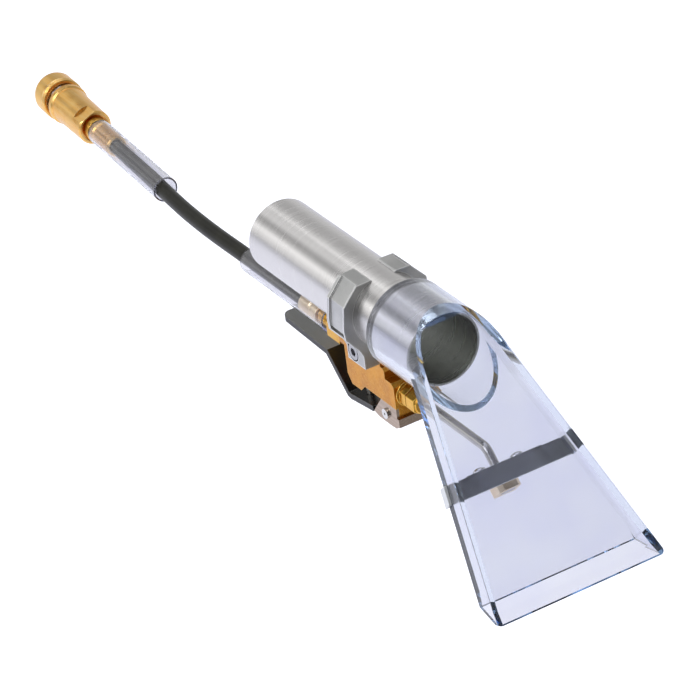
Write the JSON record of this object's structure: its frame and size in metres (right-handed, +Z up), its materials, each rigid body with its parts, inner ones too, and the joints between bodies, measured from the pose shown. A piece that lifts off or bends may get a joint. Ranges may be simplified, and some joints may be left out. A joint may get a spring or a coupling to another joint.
{
  "type": "extractor upholstery hand tool",
  "caption": "Hand tool for a carpet extractor: steel vacuum tube, clear fan head, trigger valve, jet tube and a short hose with a quick coupler.",
  "frame": {"origin": "centre of the vacuum tube's rear end", "axes": "+X along the tube towards the head, +Y to the tool's left, +Z up, away from the trigger"},
  "size_m": [0.5536, 0.093, 0.1063],
  "materials": {
    "tube_steel": "brushed stainless steel",
    "clear_plastic": "clear moulded plastic",
    "cast_aluminium": "satin cast aluminium",
    "fastener_steel": "zinc plated steel",
    "brass_body": "machined brass",
    "brass_fitting": "machined brass",
    "brass_coupler": "turned brass",
    "spring_steel": "bright spring wire",
    "bracket_steel": "bronze tinted sheet steel",
    "bright_steel": "polished steel",
    "black_lever": "gloss black coating",
    "hose_rubber": "slightly glossy black",
    "seal_rubber": "matt black",
    "clear_vinyl": "clear flexible sleeve",
    "strap_steel": "plain sheet steel",
    "jet_steel": "stainless steel"
  },
  "bodies": {
    "tool": {"vacuum_tube": "tube_steel", "clear_head": "clear_plastic", "clamp_half_near": "cast_aluminium", "clamp_half_far": "cast_aluminium", "clamp_screw": "fastener_steel", "clamp_nut": "fastener_steel", "valve_body": "brass_body", "valve_cap": "brass_fitting", "valve_spring": "spring_steel", "stem_o_ring": "seal_rubber", "inlet_fitting": "brass_fitting", "valve_ferrule": "brass_fitting", "valve_hose_sleeve": "clear_vinyl", "hose": "hose_rubber", "coupler_hose_sleeve": "clear_vinyl", "coupler_ferrule": "brass_fitting", "hose_nipple": "brass_fitting", "coupler_body": "brass_coupler", "coupler_sleeve_spring": "spring_steel", "coupler_balls": "bright_steel", "coupler_retaining_ring": "spring_steel", "coupler_poppet_spring": "spring_steel", "coupler_o_ring": "seal_rubber", "trigger_bracket": "bracket_steel", "pivot_pin": "bright_steel", "outlet_fitting": "brass_fitting", "compression_nut": "brass_fitting", "compression_ring": "brass_fitting", "jet_tube": "jet_steel", "jet_strap": "strap_steel", "jet_body": "brass_fitting", "jet_screws": "bright_steel", "jet_tip": "jet_steel", "jet_filter": "jet_steel"},
    "lever": {"trigger_lever": "black_lever"},
    "stem": {"valve_stem": "jet_steel", "poppet_washer": "seal_rubber"},
    "coupler_collar": {"coupler_sleeve": "brass_coupler"},
    "coupler_valve": {"coupler_poppet": "brass_coupler", "coupler_poppet_washer": "seal_rubber"}
  },
  "joints": [
    {"name": "trigger_hinge", "type": "hinge", "parent": "tool", "child": "lever", "pos_m": [0.1005, 0, -0.056], "axis": [0, 1, 0], "range_deg": [0, 2.3], "stiffness_Nm_per_rad": 3, "springref_deg": -2.86},
    {"name": "stem_slide", "type": "slide", "parent": "tool", "child": "stem", "axis": [0, 0, 1], "range_m": [0, 0.00105], "deforming": ["valve_spring"]},
    {"name": "collar_slide", "type": "slide", "parent": "tool", "child": "coupler_collar", "axis": [0.9966, -0.0802, 0.0209], "range_m": [0, 0.003], "stiffness_N_per_m": 900, "springref_m": -0.004, "deforming": ["coupler_sleeve_spring"]},
    {"name": "coupler_valve_slide", "type": "slide", "parent": "tool", "child": "coupler_valve", "axis": [0.9966, -0.0802, 0.0209], "range_m": [0, 0.003], "stiffness_N_per_m": 500, "springref_m": -0.005, "deforming": ["coupler_poppet_spring"]}
  ],
  "couplings": [
    {"joint": "stem_slide", "follows": "trigger_hinge", "m_per_rad": 0.026}
  ]
}
